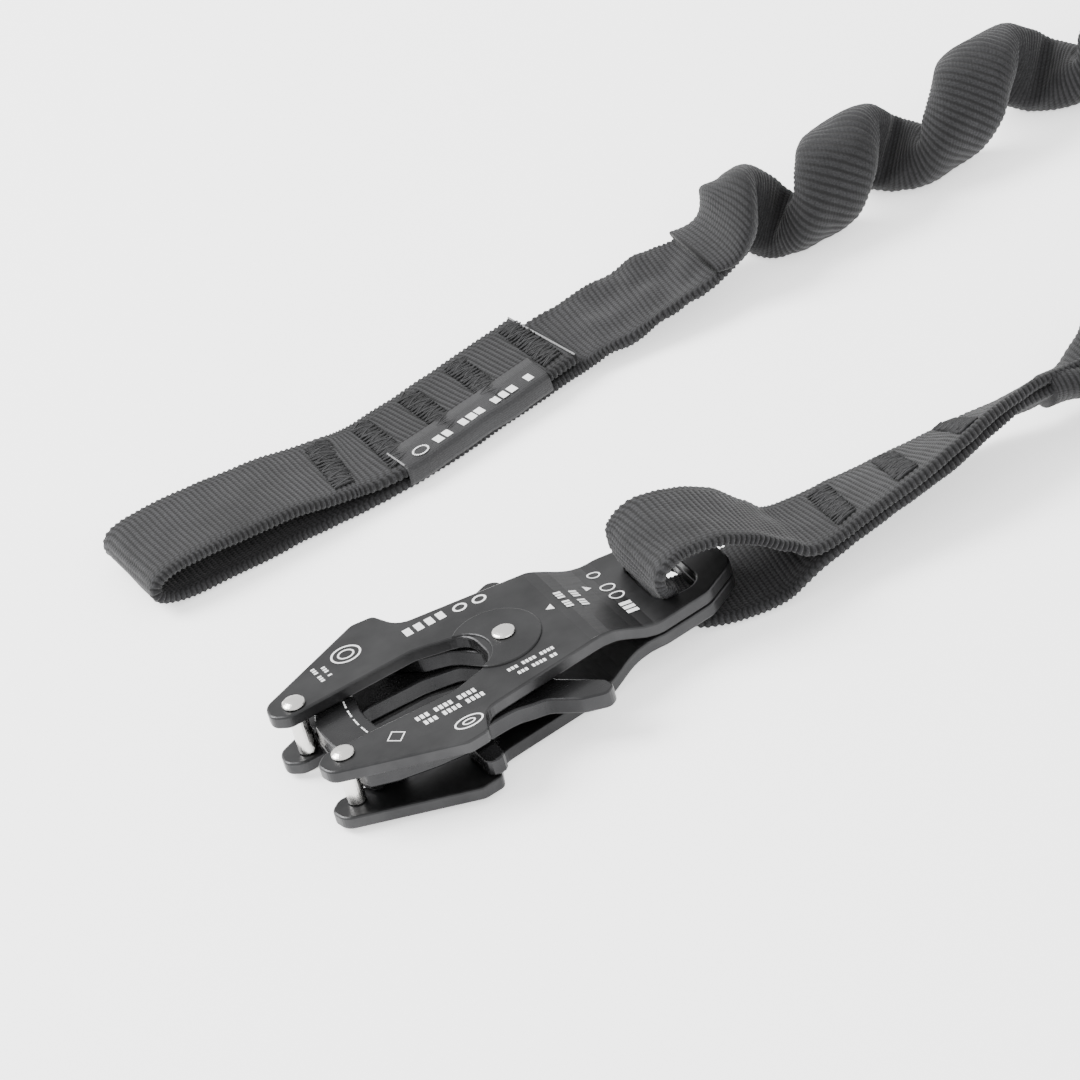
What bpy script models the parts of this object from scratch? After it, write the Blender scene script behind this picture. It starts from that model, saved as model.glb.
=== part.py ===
"""Directional connector on an elastic lanyard: two riveted plates, two crossing sprung gates, a webbing
loop through the rear eye, a scrunched tubular sleeve over a shock cord, and a sewn hand loop.

Metres, +Z up. The origin is on the floor under the gates' pivot. The mouth opens towards -X, the
lanyard leaves towards +X, and the hand loop lies at +Y.
"""

import math

import bmesh
import bpy
from mathutils import Matrix, Vector

MM = 0.001
GAP = 0.3 * MM  # clearance between pieces that touch on the real object

# Connector, in plan. The pivot is at the origin.
PLATE_T = 3.0 * MM
STACK_T = 15.0 * MM  # both plates and the room between them
LIFT = 1.3 * MM  # the connector stands on its rivet heads, so its lower plate is this high
MID_Z = LIFT + STACK_T / 2
EDGE_ROUND = 0.45 * MM
PIN_X, PIN_Y = -44.0 * MM, 11.6 * MM  # front rivets
NOSE_X, REAR_X = -49.9 * MM, 49.7 * MM
MOUTH_REAR_X = -5.6 * MM
MOUTH_HALF = 9.2 * MM
SHOULDER_X, SHOULDER_Y = -22.6 * MM, 27.6 * MM
WAIST_Y = 20.2 * MM
TAB_HALF = 15.2 * MM
JOGGLE_X0, JOGGLE_X1 = 12.5 * MM, 27.0 * MM  # the plates bend towards each other over this stretch
EYE_X0, EYE_X1, EYE_HALF, EYE_ROUND = 31.2 * MM, 41.6 * MM, 9.0 * MM, 4.0 * MM
PAD_STEP = 0.35 * MM  # raised pad round the pivot rivet
PAD_X, PAD_RX, PAD_RY = -2.0 * MM, 9.8 * MM, 10.0 * MM
PAD_FRONT_X, PAD_FRONT_R = -11.3 * MM, 7.5 * MM  # the pad's front keeps this far from the mouth's middle

# Rivets, spacers and bush
SEAT_GAP = 0.2 * MM  # between a rivet's head and its plate
HEAD_R = 2.5 * MM
FRONT_SHANK_R = 1.0 * MM
SPACER_R = 2.0 * MM
PIVOT_SHANK_R = 1.3 * MM
BUSH_R = 2.6 * MM

# Gates: the near one is the upper layer, and the far one is the same piece turned half round the X axis
GATE_T = 3.9 * MM
GATE_Z = LIFT + 7.7 * MM
GATE_BORE_R = BUSH_R + GAP
NOSE_OUT_R, NOSE_IN_R = 43.1 * MM, 33.2 * MM  # the nose is a band round the pivot
STOP_NOTCH_R = SPACER_R + 0.4 * MM  # where a closed gate meets its front spacer
POCKET_R, POCKET_DEPTH = 4.2 * MM, 2.3 * MM
LEVER_DROP = 1.1 * MM  # the finger tab bends towards the middle of the stack
GATE_EDGE = 0.4 * MM

# Torsion springs
WIRE_R = 0.35 * MM
COIL_R = 3.55 * MM
COIL_TURNS = 1.3
LEG_R = 11.8 * MM
LEG_DEG = -66.0

# Webbing and lanyard
WEB_W = 25.4 * MM
WEB_T = 2.5 * MM
SLEEVE_R, SLEEVE_WALL = 10.0 * MM, 2.0 * MM
CORE_R = 4.0 * MM
TACK_L, TACK_W, TACK_T = 20.0 * MM, 3.2 * MM, 0.5 * MM


# --- materials ---------------------------------------------------------------------------------

def material(name, colour, roughness, metallic):
    made = bpy.data.materials.new(name)
    made.use_nodes = True
    shader = made.node_tree.nodes["Principled BSDF"]
    shader.inputs["Base Color"].default_value = (*colour, 1.0)
    shader.inputs["Roughness"].default_value = roughness
    shader.inputs["Metallic"].default_value = metallic
    return made


# --- shape helpers -----------------------------------------------------------------------------

def rounded(corners, segments=6):
    """The closed outline through corners of (x, y, radius), each one turned into an arc."""
    points = []
    for i, (x, y, radius) in enumerate(corners):
        corner = Vector((x, y))
        before = Vector(corners[i - 1][:2])
        after = Vector(corners[(i + 1) % len(corners)][:2])
        if radius == 0:
            points.append(corner)
            continue
        to_before, to_after = (before - corner).normalized(), (after - corner).normalized()
        half = to_before.angle(to_after) / 2
        tangent = min(
            radius / math.tan(half),
            0.48 * (before - corner).length,
            0.48 * (after - corner).length,
        )
        radius = tangent * math.tan(half)
        centre = corner + (to_before + to_after).normalized() * radius / math.sin(half)
        start = corner + to_before * tangent - centre
        turn = math.atan2(start.cross(corner + to_after * tangent - centre), start.dot(
            corner + to_after * tangent - centre))
        for k in range(segments + 1):
            points.append(centre + Matrix.Rotation(turn * k / segments, 2) @ start)
    return points


def circle(x, y, radius, segments=32):
    turns = [2 * math.pi * k / segments for k in range(segments)]
    return [Vector((x + radius * math.cos(t), y + radius * math.sin(t))) for t in turns]


def arc(radius, start_deg, end_deg, steps):
    """Points (x, y) round the pivot, angles in degrees from +X."""
    angles = [math.radians(start_deg + (end_deg - start_deg) * k / steps) for k in range(steps + 1)]
    return [Vector((radius * math.cos(a), radius * math.sin(a))) for a in angles]


def slab(outlines, z_low, thickness, edge_round):
    """A bmesh slab with rounded edges: the first outline is the rim and the rest are holes."""
    data = bpy.data.curves.new("slab_outline", "CURVE")
    data.dimensions = "2D"
    data.fill_mode = "BOTH"
    data.extrude = thickness / 2 - edge_round
    data.bevel_depth = edge_round
    data.bevel_resolution = 1
    data.offset = -edge_round
    for outline in outlines:
        spline = data.splines.new("POLY")
        spline.points.add(len(outline) - 1)
        spline.use_cyclic_u = True
        for point, place in zip(spline.points, outline):
            point.co = (place.x, place.y, 0, 1)
    guide = bpy.data.objects.new("slab_outline", data)
    bpy.context.scene.collection.objects.link(guide)
    bpy.context.view_layer.update()
    mesh = bpy.data.meshes.new_from_object(guide.evaluated_get(bpy.context.evaluated_depsgraph_get()))
    bpy.data.objects.remove(guide)
    shape = bmesh.new()
    shape.from_mesh(mesh)
    bpy.data.meshes.remove(mesh)
    bmesh.ops.remove_doubles(shape, verts=shape.verts, dist=1e-6)
    bmesh.ops.recalc_face_normals(shape, faces=shape.faces)
    bmesh.ops.translate(shape, vec=(0, 0, z_low + thickness / 2), verts=shape.verts)
    return shape


def cut_across(shape, axis, places):
    """Adds edges across the slab at each place along an axis, so that it can bend there."""
    for place in places:
        everything = shape.verts[:] + shape.edges[:] + shape.faces[:]
        bmesh.ops.bisect_plane(shape, geom=everything, plane_co=axis * place, plane_no=axis, dist=1e-7)


def eased(value, low, high):
    """0 below low, 1 above high, and a smooth step between."""
    share = min(max((value - low) / (high - low), 0), 1)
    return share * share * (3 - 2 * share)


def finish(shape, name, look, smooth_deg=35):
    """Turns a bmesh into a named object with its material, smooth but for its sharp edges."""
    mesh = bpy.data.meshes.new(name)
    bmesh.ops.recalc_face_normals(shape, faces=shape.faces)
    shape.to_mesh(mesh)
    shape.free()
    mesh.materials.append(look)
    mesh.shade_smooth()
    mesh.set_sharp_from_angle(angle=math.radians(smooth_deg))
    made = bpy.data.objects.new(name, mesh)
    bpy.context.scene.collection.objects.link(made)
    return made


def combine(target, tool_shape, operation):
    """Joins a closed bmesh to the target, or cuts it out, and keeps the result as plain mesh."""
    bmesh.ops.recalc_face_normals(tool_shape, faces=tool_shape.faces)
    tool_mesh = bpy.data.meshes.new("tool")
    tool_shape.to_mesh(tool_mesh)
    tool_shape.free()
    tool = bpy.data.objects.new("tool", tool_mesh)
    bpy.context.scene.collection.objects.link(tool)
    boolean = target.modifiers.new("combine", "BOOLEAN")
    boolean.operation = operation
    boolean.solver = "EXACT"
    boolean.object = tool
    bpy.context.view_layer.update()
    graph = bpy.context.evaluated_depsgraph_get()
    mesh = bpy.data.meshes.new_from_object(target.evaluated_get(graph))
    target.modifiers.clear()
    old, target.data = target.data, mesh
    mesh.name = target.name
    bpy.data.meshes.remove(old)
    bpy.data.objects.remove(tool)
    bpy.data.meshes.remove(tool_mesh)


def turned(profile, x, y, segments=24):
    """A solid turned about the vertical axis at (x, y) from (radius, z) points, bottom to top.

    A closed profile that never meets the axis makes a tube."""
    shape = bmesh.new()
    ring_starts = [shape.verts.new((radius, 0, z)) for radius, z in profile]
    on_axis = profile[0][0] == 0
    pairs = list(zip(ring_starts, ring_starts[1:]))
    if not on_axis:
        pairs.append((ring_starts[-1], ring_starts[0]))
    edges = [shape.edges.new(pair) for pair in pairs]
    bmesh.ops.spin(shape, geom=ring_starts + edges, axis=(0, 0, 1), cent=(0, 0, 0),
                   angle=2 * math.pi, steps=segments, use_merge=True)
    bmesh.ops.remove_doubles(shape, verts=shape.verts, dist=1e-6)
    bmesh.ops.translate(shape, vec=(x, y, 0), verts=shape.verts)
    return shape


def smooth_path(points, steps):
    """A Catmull-Rom curve through the points (any dimension), as steps + 1 points evenly spread."""
    def at(i):
        return Vector(points[min(max(i, 0), len(points) - 1)])

    def eased(t):
        i = min(int(t), len(points) - 2)
        f = t - i
        a, b, c, d = at(i - 1), at(i), at(i + 1), at(i + 2)
        return 0.5 * (2 * b + (c - a) * f + (2 * a - 5 * b + 4 * c - d) * f ** 2
                      + (3 * b - a - 3 * c + d) * f ** 3)

    fine = [eased((len(points) - 1) * k / (20 * len(points))) for k in range(20 * len(points) + 1)]
    along = [0.0]
    for p, q in zip(fine, fine[1:]):
        along.append(along[-1] + (Vector(q[:3]) - Vector(p[:3])).length)
    result, i = [], 0
    for k in range(steps + 1):
        wanted = along[-1] * k / steps
        while i < len(fine) - 2 and along[i + 1] < wanted:
            i += 1
        span = max(along[i + 1] - along[i], 1e-12)
        result.append(fine[i].lerp(fine[i + 1], min(max((wanted - along[i]) / span, 0), 1)))
    return result


def strap(stations, steps, thickness, lift=0.0):
    """A flat strap swept through stations of (x, y, z, width, roll in degrees).

    The roll turns it about its own run, near (-Y) edge up. Lift moves it along its own normal."""
    path = smooth_path(stations, steps)
    shape = bmesh.new()
    rings = []
    for i, station in enumerate(path):
        run = (Vector(path[min(i + 1, steps)][:3]) - Vector(path[max(i - 1, 0)][:3])).normalized()
        side = Vector((0, 1, 0))
        side = (side - run * side.dot(run)).normalized()
        side = Matrix.Rotation(math.radians(-station[4]), 3, run) @ side
        normal = run.cross(side)
        centre = Vector(station[:3]) + normal * lift
        half = station[3] / 2
        corners = ((-half, -thickness / 2), (half, -thickness / 2), (half, thickness / 2),
                   (-half, thickness / 2))
        rings.append([shape.verts.new(centre + side * s + normal * n) for s, n in corners])
    for first, second in zip(rings, rings[1:]):
        for k in range(4):
            shape.faces.new((first[k], first[(k + 1) % 4], second[(k + 1) % 4], second[k]))
    shape.faces.new(rings[0][::-1])
    shape.faces.new(rings[-1])
    return shape


def pipe(path, radii, sides):
    """A tube along a path: one radius makes a solid rod, two make a hollow tube with open ends."""
    shape = bmesh.new()
    up = Vector((0, 0, 1))
    walls = []
    for radius in radii:
        rings = []
        for i, centre in enumerate(path):
            run = (path[min(i + 1, len(path) - 1)] - path[max(i - 1, 0)]).normalized()
            side = run.cross(up).normalized()
            top = side.cross(run)
            rings.append([shape.verts.new(centre + radius * (side * math.cos(t) + top * math.sin(t)))
                          for t in (2 * math.pi * k / sides for k in range(sides))])
        for first, second in zip(rings, rings[1:]):
            for k in range(sides):
                n = (k + 1) % sides
                shape.faces.new((first[k], first[n], second[n], second[k]))
        walls.append(rings)
    for end in (0, -1):
        if len(walls) == 1:
            shape.faces.new(walls[0][end])
        else:
            for k in range(sides):
                n = (k + 1) % sides
                shape.faces.new((walls[0][end][k], walls[0][end][n], walls[1][end][n], walls[1][end][k]))
    return shape


def half_turn(source, name):
    """The same piece turned half round the X axis through the middle of the stack."""
    mesh = source.data.copy()
    mesh.name = name
    turn = Matrix.Translation((0, 0, MID_Z)) @ Matrix.Rotation(math.pi, 4, "X") @ Matrix.Translation(
        (0, 0, -MID_Z))
    mesh.transform(turn)
    mesh.update()
    made = bpy.data.objects.new(name, mesh)
    bpy.context.scene.collection.objects.link(made)
    return made


# --- connector ---------------------------------------------------------------------------------

def plate_outline():
    """Half of the outline at +Y from the mouth's rear round to the rear end, then its mirror image."""
    half = [
        (MOUTH_REAR_X, 6.0 * MM, 5.5 * MM),
        (-17.0 * MM, MOUTH_HALF + 0.3 * MM, 6.0 * MM),
        (PIN_X - 3.0 * MM, 8.4 * MM, 3.0 * MM),
        (NOSE_X, 11.0 * MM, 2.5 * MM),
        (NOSE_X + 0.8 * MM, 15.4 * MM, 3.5 * MM),
        (SHOULDER_X, SHOULDER_Y, 3.0 * MM),
        (SHOULDER_X + 4.9 * MM, SHOULDER_Y - 0.6 * MM, 1.6 * MM),
        (-15.0 * MM, WAIST_Y, 5.0 * MM),
        (13.5 * MM, 16.0 * MM, 6.0 * MM),
        (20.0 * MM, 13.8 * MM, 10.0 * MM),
        (28.0 * MM, TAB_HALF, 8.0 * MM),
        (40.5 * MM, 13.4 * MM, 6.0 * MM),
        (REAR_X, 7.5 * MM, 5.0 * MM),
    ]
    return rounded(half + [(x, -y, radius) for x, y, radius in reversed(half)], 5)


def joggle(x):
    """How far a plate has come towards the middle of the stack at x."""
    return (STACK_T / 2 - PLATE_T - GAP / 2) * eased(x, JOGGLE_X0, JOGGLE_X1)


def pad_outline():
    """The raised pad: an oval whose front curves round the mouth's rear."""
    outline = []
    for k in range(48):
        turn = 2 * math.pi * k / 48
        x, y = PAD_X + PAD_RX * math.cos(turn), PAD_RY * math.sin(turn)
        if abs(y) < PAD_FRONT_R:
            x = max(x, PAD_FRONT_X + math.sqrt(PAD_FRONT_R**2 - y**2))
        outline.append(Vector((x, y)))
    return outline


def make_plates(look):
    eye = [(EYE_X0, EYE_HALF, EYE_ROUND), (EYE_X1, EYE_HALF, EYE_ROUND),
           (EYE_X1, -EYE_HALF, EYE_ROUND), (EYE_X0, -EYE_HALF, EYE_ROUND)]
    pivot_hole = circle(0, 0, PIVOT_SHANK_R + GAP, 20)
    holes = [circle(PIN_X, side * PIN_Y, FRONT_SHANK_R + GAP, 16) for side in (1, -1)]
    outlines = [plate_outline(), rounded(eye), pivot_hole] + holes
    shape = slab(outlines, LIFT + STACK_T - PLATE_T, PLATE_T, EDGE_ROUND)
    bends = 6
    step = (JOGGLE_X1 - JOGGLE_X0) / bends
    cut_across(shape, Vector((1, 0, 0)), [JOGGLE_X0 + step * k for k in range(bends + 1)])
    for vertex in shape.verts:
        vertex.co.z -= joggle(vertex.co.x)
    upper = finish(shape, "upper_plate", look)
    bore = circle(0, 0, PIVOT_SHANK_R + GAP + EDGE_ROUND, 20)
    pad = slab([pad_outline(), bore], LIFT + STACK_T - 1.0 * MM, 1.0 * MM + PAD_STEP, 0.3 * MM)
    combine(upper, pad, "UNION")
    return upper, half_turn(upper, "lower_plate")


def make_rivet(name, x, y, shank, seat, look):
    """A shank through both plates with a domed head on each end. Seat is the head's height above a plate."""
    height = LIFT - seat
    angles = [math.radians(a) for a in range(0, 90, 18)]
    base = LIFT + STACK_T + seat
    dome = [(HEAD_R * math.cos(t), base + height * (0.15 + 0.85 * math.sin(t))) for t in angles]
    upper = [(shank, MID_Z), (shank, base), (HEAD_R, base)] + dome + [(0, base + height)]
    lower = [(r, 2 * MID_Z - z) for r, z in upper[1:]]
    return finish(turned(lower[::-1] + upper[1:], x, y), name, look)


def make_tube(name, x, y, inner, outer, look):
    """A tube that fills the room between the plates."""
    low, high = LIFT + PLATE_T + GAP, LIFT + STACK_T - PLATE_T - GAP
    return finish(turned([(inner, low), (outer, low), (outer, high), (inner, high)], x, y, 28), name, look)


# --- gates -------------------------------------------------------------------------------------

def gate_outline():
    """The near gate in plan: nose across the mouth, arm, hub with the tail, and the finger lever."""
    def corners(places):
        return [(x * MM, y * MM, radius * MM) for x, y, radius in places]

    nose_front = [(p.x, p.y, 0) for p in arc(NOSE_OUT_R, 189.8, 172.0, 6)]
    nose_tip = corners([(-39.6, 13.2, 1.5), (-35.0, 11.6, 1.5)])
    nose_rear = [(p.x, p.y, 0) for p in arc(NOSE_IN_R, 163.0, 187.0, 6)]
    mouth_side = corners([(-32.3, -9.5, 3.0), (-17.0, -9.5, 6.0), (-9.0, -7.6, 4.0), (-4.9, -2.2, 2.5),
                          (-4.9, 2.2, 2.5), (-9.5, 7.9, 6.0), (-15.5, 10.3, 3.0)])
    tail = corners([(-20.0, 15.5, 3.0), (-19.9, 26.8, 1.9), (-15.4, 26.8, 1.9), (-15.2, 20.0, 4.0),
                    (-10.0, 12.5, 5.0)])
    hub_rear = corners([(-3.0, 8.8, 4.0), (5.5, 7.0, 4.0), (8.5, 0.0, 4.0), (6.5, -6.5, 3.0)])
    lever = corners([(2.6, -12.0, 3.0), (2.6, -15.8, 2.5), (10.4, -23.8, 2.0), (10.9, -26.6, 1.8),
                     (8.6, -28.3, 2.0), (3.4, -26.0, 4.0), (-2.4, -20.5, 4.0)])
    outer_edge = corners([(-8.0, -20.3, 6.0), (-14.3, -20.8, 6.0), (-20.2, -21.7, 8.0), (-28.0, -20.9, 10.0),
                          (-36.5, -19.0, 4.0), (-42.0, -16.6, 1.5)])
    notch = []
    for k in range(7):
        angle = math.radians(-62 + 102 * k / 6)
        notch.append((PIN_X + STOP_NOTCH_R * math.cos(angle), -PIN_Y + STOP_NOTCH_R * math.sin(angle), 0))
    return rounded(nose_front + nose_tip + nose_rear + mouth_side + tail + hub_rear + lever + outer_edge
                   + notch, 3)


def make_gates(look):
    shape = slab([gate_outline(), circle(0, 0, GATE_BORE_R, 24)], GATE_Z, GATE_T, GATE_EDGE)
    cut_across(shape, Vector((1, 0, 0)), [x * MM for x in (-11, -9, -7, -5, -3)])
    cut_across(shape, Vector((0, 1, 0)), [y * MM for y in (-15, -13.5, -12, -10.5)])
    for vertex in shape.verts:
        x, y = vertex.co.x, vertex.co.y
        vertex.co.z -= LEVER_DROP * eased(x, -11 * MM, -3 * MM) * eased(-y, 10.5 * MM, 15 * MM)
    near = finish(shape, "gate_near", look)
    pocket_top = GATE_Z + POCKET_DEPTH
    pocket = turned([(0, GATE_Z - 1 * MM), (POCKET_R, GATE_Z - 1 * MM), (POCKET_R, pocket_top),
                     (0, pocket_top)], 0, 0, 32)
    combine(near, pocket, "DIFFERENCE")
    leg = math.radians(LEG_DEG)
    along, across = Vector((math.cos(leg), math.sin(leg), 0)), Vector((-math.sin(leg), math.cos(leg), 0))
    slot = bmesh.new()
    bmesh.ops.create_cube(slot, size=1.0)
    for vertex in slot.verts:
        reach = (GATE_BORE_R + 0.6 * MM) if vertex.co.x < 0 else 16 * MM
        height = GATE_Z - 2 * MM if vertex.co.z < 0 else pocket_top
        vertex.co = along * reach + across * (2.0 * MM * vertex.co.y + 0.3 * MM) + Vector((0, 0, height))
    combine(near, slot, "DIFFERENCE")
    return near, half_turn(near, "gate_far")


def make_springs(look):
    """A short torsion spring in each gate's pocket, with one leg that runs out along the lever's root."""
    turn_steps = 26
    low = GATE_Z + 0.15 * MM + WIRE_R
    rise = POCKET_DEPTH - 0.3 * MM - 2 * WIRE_R
    path = []
    for k in range(turn_steps + 1):
        angle = math.radians(LEG_DEG + 90) + 2 * math.pi * COIL_TURNS * (k / turn_steps - 1)
        height = low + rise * (1 - k / turn_steps)
        path.append(Vector((COIL_R * math.cos(angle - math.pi / 2), COIL_R * math.sin(angle - math.pi / 2),
                            height)))
    leg = math.radians(LEG_DEG)
    out = Vector((math.cos(leg), math.sin(leg), 0))
    for reach in (COIL_R + 1.2 * MM, 0.6 * LEG_R, LEG_R):
        path.append(out * reach + Vector((0, 0, low)))
    near = finish(pipe(path, [WIRE_R], 6), "gate_spring_near", look)
    return near, half_turn(near, "gate_spring_far")


# --- lanyard -----------------------------------------------------------------------------------
# Stations are (x, y, z, width, roll in degrees), in millimetres until they are scaled.

EYE_LOOP = [
    (66, -4, 5.6, 25.4, -6), (58, -3, 3.2, 24, 0), (50, -2, 2.0, 21, 0), (43, -1, 2.2, 18.4, 0),
    (38.8, 0, 4.0, 17.2, 0), (37.0, 0, 8.5, 17.2, 0), (35.2, 0, 13, 18.2, 0), (32.4, -0.5, 16.6, 22, 0),
    (32.6, -1, 20.8, 24.6, 0), (38, -1, 22.9, 25.4, 0), (46, -1.5, 21.8, 25.4, 0), (54, -2, 17.8, 25.4, 0),
    (60, -3, 12.6, 25.4, 3), (66, -4, 8.9, 25.4, 6),
]
HOOK_STRAP = [
    (68.0, -4, 7.3, 25.4, 6), (80, -4, 8.2, 25.4, 14), (97, -4, 9.6, 25.4, 22),
    (114, -3, 11, 24, 30), (127, -3, 11.8, 21, 38),
]
LANYARD = [
    (127.6, -3, 10.6), (146, -3, 10.6), (168, -4, 10.6), (194, -5, 10.6), (219, -2, 10.6), (241, 9, 10.6),
    (257, 29, 10.6), (262, 54, 10.6), (256, 79, 10.6), (239, 97.5, 10.6), (217, 106.5, 10.6),
    (198, 107, 10.6), (176, 106, 10.6), (154, 104.8, 10.6), (136, 103.8, 10.6), (117, 103, 10.6),
    (99.4, 102.6, 10.6),
]
HAND_LOOP = [
    (98.0, 102.8, 6.5, 24, 0), (80, 104.4, 5.0, 25.4, 0), (63, 105, 2.6, 25.4, 0), (40, 101.5, 1.7, 25.4, 0),
    (16, 97.3, 1.6, 25.4, 0), (-12, 97.3, 1.6, 25.4, 0), (-34, 97.3, 1.8, 25.4, 0),
    (-42, 97.3, 3.0, 25.4, 0), (-44.4, 97.3, 5.8, 25.4, 0), (-42, 97.3, 8.6, 25.4, 0),
    (-34, 97.3, 9.6, 25.4, 0), (-12, 97.3, 8.4, 25.4, 0), (4, 97.3, 5.8, 25.4, 0),
    (16, 97.3, 4.6, 25.4, 0), (40, 101.5, 4.9, 25.4, 0), (62, 105, 5.9, 25.4, 0),
]
LOOP_TACK_X = [3, 15.8, 29, 42, 57.2]
HOOK_TACK_X = [74, 90, 106]
LABEL_X = [18 + 3.6 * k for k in range(11)]


def scaled(stations):
    return [tuple(v if i == 4 else v * MM for i, v in enumerate(station)) for station in stations]


def make_tack(name, stations, x, above, look):
    """A bar tack: a low thread pad across a strap's upper run at x, clear of the webbing under it."""
    path = smooth_path(scaled(stations), 240)
    on = max(i for i in range(240) if min(path[i][0], path[i + 1][0]) <= x * MM)
    spots = []
    for place in (path[on], path[on].lerp(path[min(on + 8, 240)], 0.5)):
        place = place.copy()
        place[3] = min(TACK_L, place[3] - 4 * MM)
        spots.append(place)
    run = spots[1] - spots[0]
    spots[1] = spots[0] + run * (TACK_W / Vector(run[:3]).length)
    return finish(strap([tuple(place) for place in spots], 3, TACK_T, above), name, look)


def make_label(look):
    """Woven tape folded over the hand loop's near edge: it lies on the strap and hangs down beside it."""
    path = smooth_path(scaled(HAND_LOOP), 240)
    section = [(8.0, 1.6), (-0.7, 1.6), (-1.2, 1.1), (-1.2, -3.4), (-0.6, -3.4), (-0.6, 0.8), (-0.4, 1.0),
               (8.0, 1.0)]
    shape = bmesh.new()
    rings = []
    for x in LABEL_X:
        on = max(i for i in range(240) if path[i][0] <= x * MM)
        edge_y, top_z = path[on][1] - path[on][3] / 2, path[on][2] + WEB_T / 2
        rings.append([shape.verts.new((x * MM, edge_y + y * MM, top_z + z * MM)) for y, z in section])
    count = len(section)
    for first, second in zip(rings, rings[1:]):
        for k in range(count):
            shape.faces.new((first[k], first[(k + 1) % count], second[(k + 1) % count], second[k]))
    shape.faces.new(rings[0][::-1])
    shape.faces.new(rings[-1])
    bmesh.ops.triangulate(shape, faces=[face for face in shape.faces if len(face.verts) > 4])
    finish(shape, "woven_label", look)


def make_lanyard(web, thread, core_look, label_look):
    finish(strap(scaled(EYE_LOOP), 44, WEB_T), "eye_loop", web)
    layer = (WEB_T + GAP) / 2
    finish(strap(scaled(HOOK_STRAP), 32, WEB_T, layer), "hook_strap_upper", web)
    finish(strap(scaled(HOOK_STRAP), 32, WEB_T, -layer), "hook_strap_lower", web)
    route = smooth_path([tuple(v * MM for v in place) for place in LANYARD], 48)
    finish(pipe(route, [SLEEVE_R, SLEEVE_R - SLEEVE_WALL], 12), "bungee_sleeve", web)
    finish(pipe(route[1:-1], [CORE_R], 8), "elastic_core", core_look)
    finish(strap(scaled(HAND_LOOP), 56, WEB_T), "hand_loop", web)
    on_top = WEB_T / 2 + GAP + TACK_T / 2
    for number, x in enumerate(LOOP_TACK_X, 1):
        make_tack(f"hand_loop_tack_{number}", HAND_LOOP, x, on_top, thread)
    for number, x in enumerate(HOOK_TACK_X, 1):
        make_tack(f"hook_strap_tack_{number}", HOOK_STRAP, x, on_top + layer, thread)
    make_label(label_look)


def main():
    for old in list(bpy.data.objects):
        bpy.data.objects.remove(old)
    anodised = material("anodised_black", (0.018, 0.018, 0.020), 0.34, 0.9)
    gate_black = material("gate_black", (0.015, 0.015, 0.017), 0.28, 0.9)
    steel = material("bright_steel", (0.72, 0.71, 0.69), 0.22, 1.0)
    spring_steel = material("spring_steel", (0.35, 0.35, 0.36), 0.3, 1.0)
    web = material("black_webbing", (0.016, 0.016, 0.017), 0.85, 0.0)
    thread = material("black_thread", (0.010, 0.010, 0.011), 0.8, 0.0)
    core_look = material("elastic_core", (0.10, 0.10, 0.10), 0.7, 0.0)
    label_look = material("label_weave", (0.03, 0.03, 0.032), 0.6, 0.0)

    make_plates(anodised)
    for side, y in (("near", -PIN_Y), ("far", PIN_Y)):
        make_rivet(f"front_rivet_{side}", PIN_X, y, FRONT_SHANK_R, SEAT_GAP, steel)
        make_tube(f"front_spacer_{side}", PIN_X, y, FRONT_SHANK_R + GAP, SPACER_R, steel)
    make_rivet("pivot_rivet", 0, 0, PIVOT_SHANK_R, PAD_STEP + SEAT_GAP, steel)
    make_tube("pivot_bush", 0, 0, PIVOT_SHANK_R + GAP, BUSH_R, steel)
    make_gates(gate_black)
    make_springs(spring_steel)
    make_lanyard(web, thread, core_look, label_look)


main()
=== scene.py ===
"""The visual model of a directional connector on an elastic webbing lanyard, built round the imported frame."""

import math

import bpy
import numpy as np
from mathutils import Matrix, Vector, noise


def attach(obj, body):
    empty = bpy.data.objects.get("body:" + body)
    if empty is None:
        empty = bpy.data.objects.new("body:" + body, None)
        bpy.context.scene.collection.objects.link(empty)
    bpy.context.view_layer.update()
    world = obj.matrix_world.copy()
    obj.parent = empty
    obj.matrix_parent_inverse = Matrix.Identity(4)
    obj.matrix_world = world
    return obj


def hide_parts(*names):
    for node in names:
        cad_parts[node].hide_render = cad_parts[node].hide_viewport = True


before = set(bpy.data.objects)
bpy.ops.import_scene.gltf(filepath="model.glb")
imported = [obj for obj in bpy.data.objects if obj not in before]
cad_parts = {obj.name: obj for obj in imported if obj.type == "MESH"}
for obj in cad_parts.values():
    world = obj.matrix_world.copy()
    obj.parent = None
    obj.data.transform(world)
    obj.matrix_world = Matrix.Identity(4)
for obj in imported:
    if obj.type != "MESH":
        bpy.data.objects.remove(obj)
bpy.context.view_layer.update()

MM = 0.001
BODY = "frame"
RIB = 1.25  # pitch of the webbing's cross ribs, in millimetres
RIB_HEIGHT = 0.24
WEB_T = 2.5
LAYER = 1.35  # each of the hook strap's two layers lies this far from their middle
EYE_BUNCHING = 1.9  # how many times thicker the webbing is where it is squeezed into the eye
SLEEVE_PHASE = 4.98  # the winding's angle at the hand loop's end, in radians
SLEEVE_REACH = 6.2  # how far the winding's middle line runs from the core's line
SLEEVE_W, SLEEVE_T = 8.8, 5.6  # half the width and half the thickness of the scrunched tube
HAND_END_W, HAND_END_T = 10.8, 1.5  # the same where it grows out of the hand loop's strap
HOOK_END_W, HOOK_END_T = 7.4, 3.4  # and where it grows out of the hook strap
CORE_R = 1.8  # the drawn core is thin enough to stay inside the folds
THREAD_R = 0.24
HAND_TACK_X = (4.6, 17.4, 30.6, 43.6, 58.8)
HOOK_TACK_X = (75.6, 91.6, 107.6)
PLATE_TOP, JOGGLE, JOGGLE_X = 16.3, 4.35, (12.5, 27.0)  # the upper plate's face and its bend to the eye
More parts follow.
